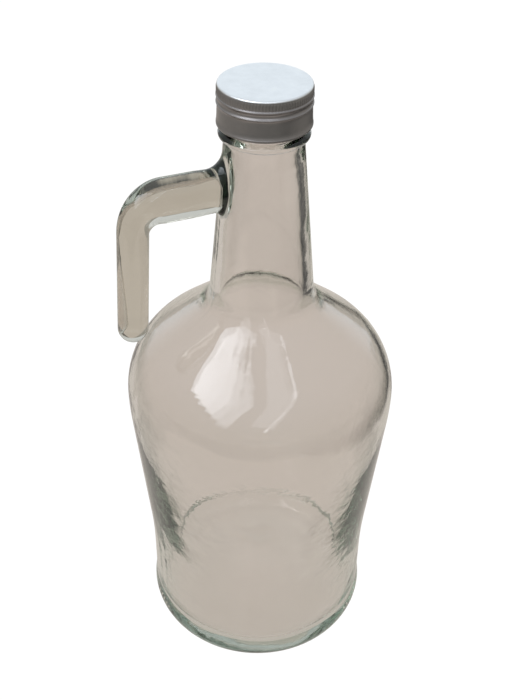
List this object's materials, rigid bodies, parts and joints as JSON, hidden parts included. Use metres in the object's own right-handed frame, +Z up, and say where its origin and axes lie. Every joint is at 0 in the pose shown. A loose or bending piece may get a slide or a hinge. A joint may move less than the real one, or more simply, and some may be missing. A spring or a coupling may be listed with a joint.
{
  "type": "growler",
  "caption": "Clear glass handle jug with a hook handle moulded to its neck and a knurled aluminium screw cap over a threaded insert and a foam liner.",
  "frame": {"origin": "on the jug's axis, in the plane of the bearing ring that it stands on", "axes": "+Z up along the jug's axis towards the mouth; the handle stands out towards -X and is symmetric about the XZ plane"},
  "size_m": [0.1359, 0.132, 0.311],
  "materials": {
    "glass": "clear soda-lime glass, glossy, faintly green at its edges",
    "aluminium": "satin anodised sheet, darker on the skirt than on the top",
    "insert_plastic": "off-white moulded polypropylene",
    "liner_foam": "white expanded polyethylene foam disc"
  },
  "bodies": {
    "jug": {"jug_body": "glass", "jug_neck": "glass", "jug_handle": "glass"},
    "liner": {"cap_liner": "liner_foam"},
    "cap": {"cap_shell": "aluminium", "cap_insert": "insert_plastic"}
  },
  "joints": [
    {"name": "cap_lift", "type": "slide", "parent": "jug", "child": "liner", "axis": [0, 0, 1], "range_m": [0, 0.0382]},
    {"name": "cap_turn", "type": "hinge", "parent": "liner", "child": "cap", "pos_m": [0, 0, 0.3], "axis": [0, 0, 1], "range_deg": [0, 3240]}
  ],
  "couplings": [
    {"joint": "cap_lift", "follows": "cap_turn", "m_per_rad": 0.00067375}
  ]
}
